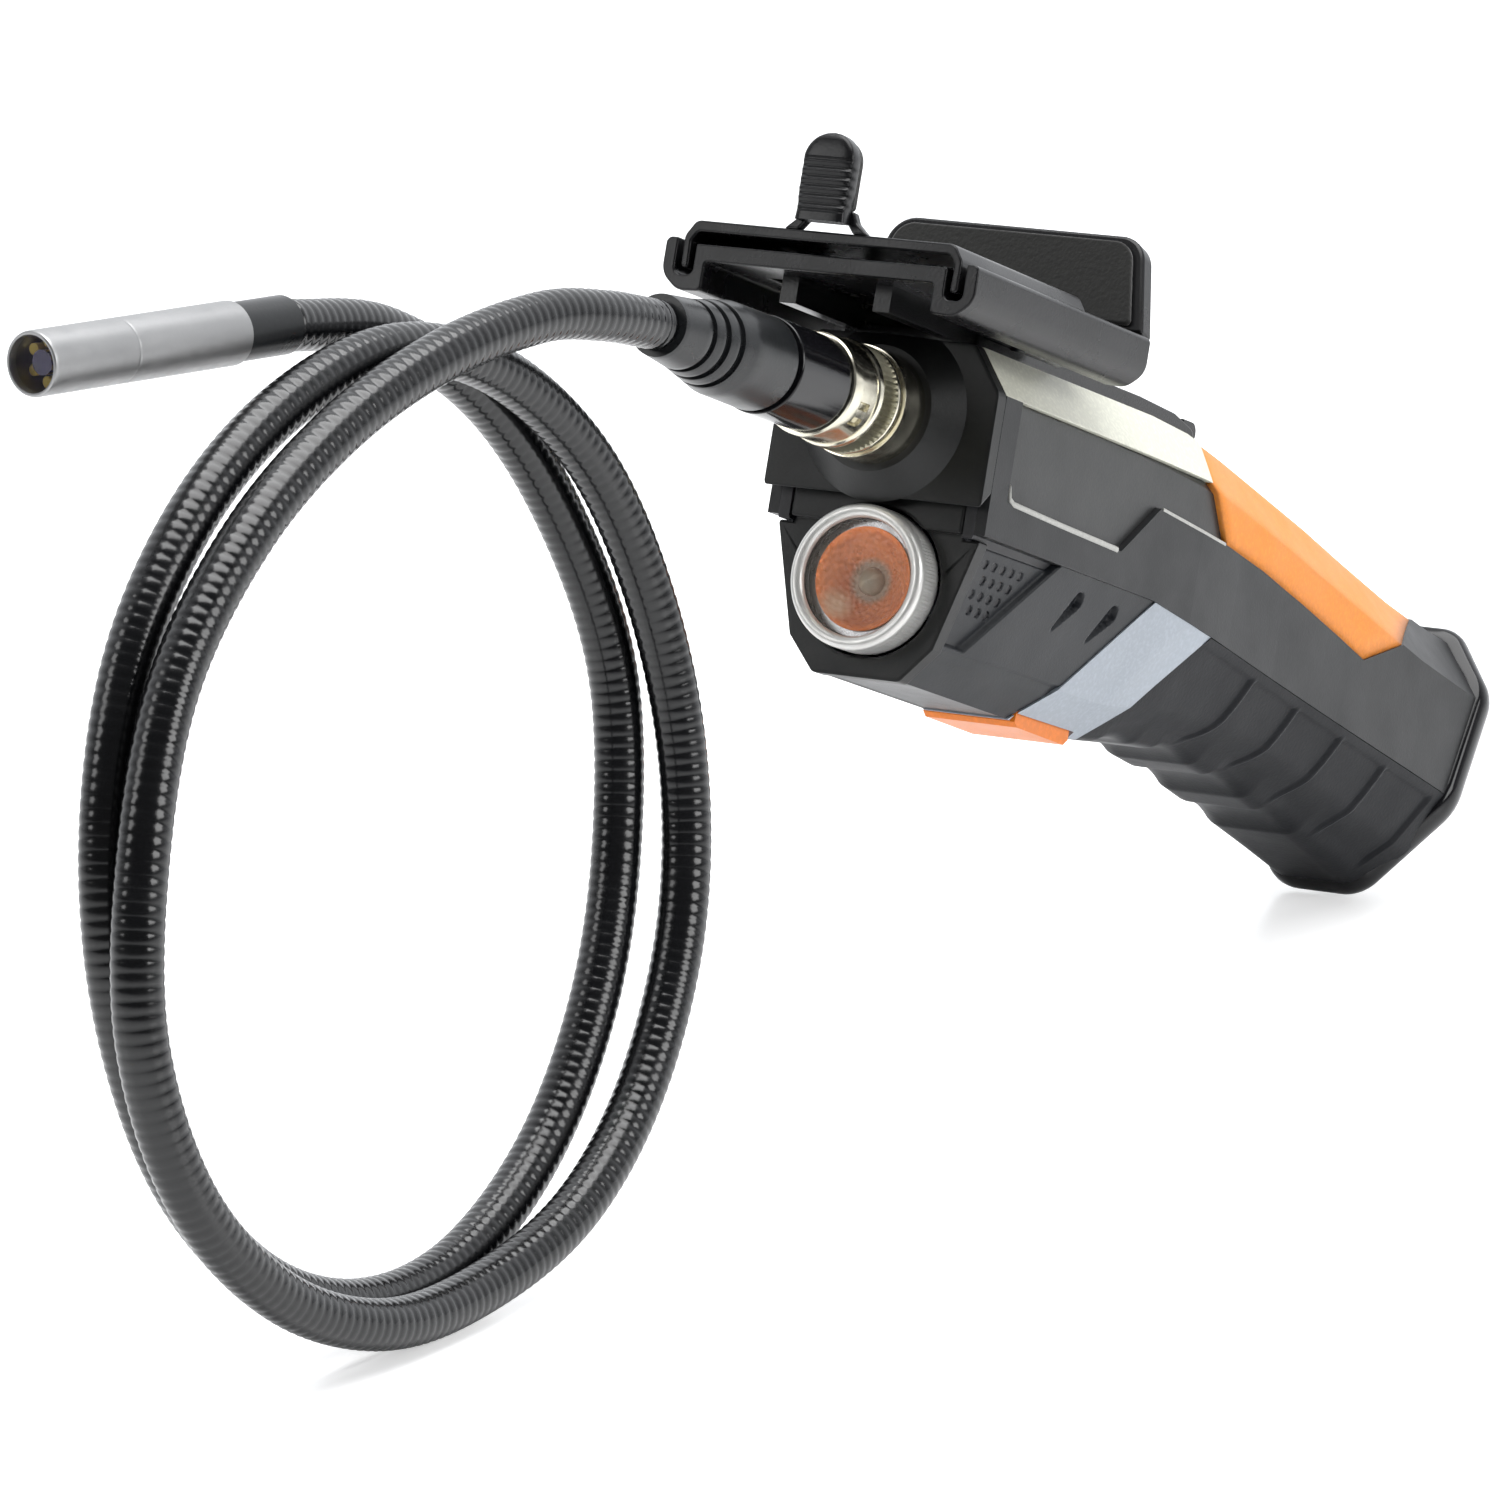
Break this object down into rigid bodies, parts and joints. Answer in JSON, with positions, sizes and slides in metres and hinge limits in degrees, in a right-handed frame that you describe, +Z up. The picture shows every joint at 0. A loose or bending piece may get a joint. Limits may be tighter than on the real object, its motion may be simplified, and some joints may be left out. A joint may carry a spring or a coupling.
{
  "type": "inspection camera",
  "caption": "Pistol-grip inspection camera standing on its base, with a flexible gooseneck camera head, a work light and a sprung phone holder.",
  "frame": {"origin": "on the bench under the middle of the handset, measured without the gooseneck and its camera head", "axes": "+X level and forward, the way the nose points; +Y to the handset's left; +Z up. The handset's own long axis rises forward from +X by the stance angle."},
  "size_m": [0.4214, 0.066, 0.1647],
  "materials": {
    "dark_plastic": "fine matte",
    "black_plastic": "satin",
    "black_gloss": "gloss",
    "grey_shell": "fine matte, soft touch",
    "pale_plastic": "smooth matte",
    "orange_rubber": "soft touch",
    "orange_plastic": "satin",
    "grip_rubber": "matte",
    "steel": "zinc plated",
    "bright_steel": "fine turned",
    "aluminium": "turned",
    "nickel": "nickel plated",
    "copper_reflector": "dimpled",
    "clear_lens": "clear",
    "board": "solder mask",
    "white_board": "white solder mask",
    "tin_can": "tinned",
    "cell_wrap": "printed sleeve, plain",
    "lamp_yellow": "gloss",
    "neck_jacket": "ribbed satin",
    "foam": "fine cell foam"
  },
  "bodies": {
    "handset": {"left_housing": "dark_plastic", "right_housing": "dark_plastic", "nose_block": "black_plastic", "socket_collar": "black_plastic", "left_side_band": "grey_shell", "right_side_band": "grey_shell", "left_upper_panel": "grey_shell", "right_upper_panel": "grey_shell", "left_vent_panel": "grey_shell", "right_vent_panel": "grey_shell", "top_deck": "pale_plastic", "back_insert": "orange_rubber", "belly_band": "pale_plastic", "grip_sleeve": "grip_rubber", "base_cap": "black_gloss", "cap_gasket": "grip_rubber", "strap_loop": "black_plastic", "cap_screws": "steel", "housing_screws": "steel", "trigger_pin": "steel", "trigger_spring": "steel", "trigger_switch": "black_plastic", "main_board": "board", "radio_module": "tin_can", "battery_cradle": "black_plastic", "battery_cells": "cell_wrap", "battery_contacts": "nickel", "light_body": "aluminium", "light_board": "white_board", "light_reflector": "copper_reflector", "light_seal": "grip_rubber", "panel_socket": "nickel", "plug_core": "nickel", "plug_sleeve": "black_gloss", "plug_boot": "grip_rubber", "gooseneck": "neck_jacket", "head_sleeve": "black_plastic", "camera_barrel": "bright_steel", "camera_board": "board", "camera_lens": "black_gloss", "camera_lamps": "lamp_yellow", "camera_window": "clear_lens", "holder_foot": "black_plastic", "holder_base": "black_plastic", "holder_screws": "steel", "jaw_springs": "steel", "rear_jaw": "black_plastic", "rear_pad": "foam"},
    "trigger": {"trigger": "orange_plastic"},
    "coupling_nut": {"coupling_nut": "nickel"},
    "light_bezel": {"light_bezel": "aluminium", "light_lens": "clear_lens"},
    "holder_jaw": {"jaw_plate": "black_plastic", "claw": "grip_rubber", "claw_pad": "foam"}
  },
  "joints": [
    {"name": "trigger_press", "type": "hinge", "parent": "handset", "child": "trigger", "pos_m": [0.02833, 0, 0.06533], "axis": [0, 1, 0], "range_deg": [0, 4.5], "stiffness_Nm_per_rad": 0.2, "springref_deg": -2.86},
    {"name": "coupling_nut_turn", "type": "hinge", "parent": "handset", "child": "coupling_nut", "pos_m": [0.08082, 0, 0.12251], "axis": [0.9432, 0, 0.3322], "continuous": true},
    {"name": "light_bezel_turn", "type": "hinge", "parent": "handset", "child": "light_bezel", "pos_m": [0.07005, 0, 0.08988], "axis": [0.9432, 0, 0.3322], "continuous": true},
    {"name": "holder_jaw_slide", "type": "slide", "parent": "handset", "child": "holder_jaw", "axis": [0.9432, 0, 0.3322], "range_m": [0, 0.03], "stiffness_N_per_m": 250, "springref_m": -0.004}
  ]
}
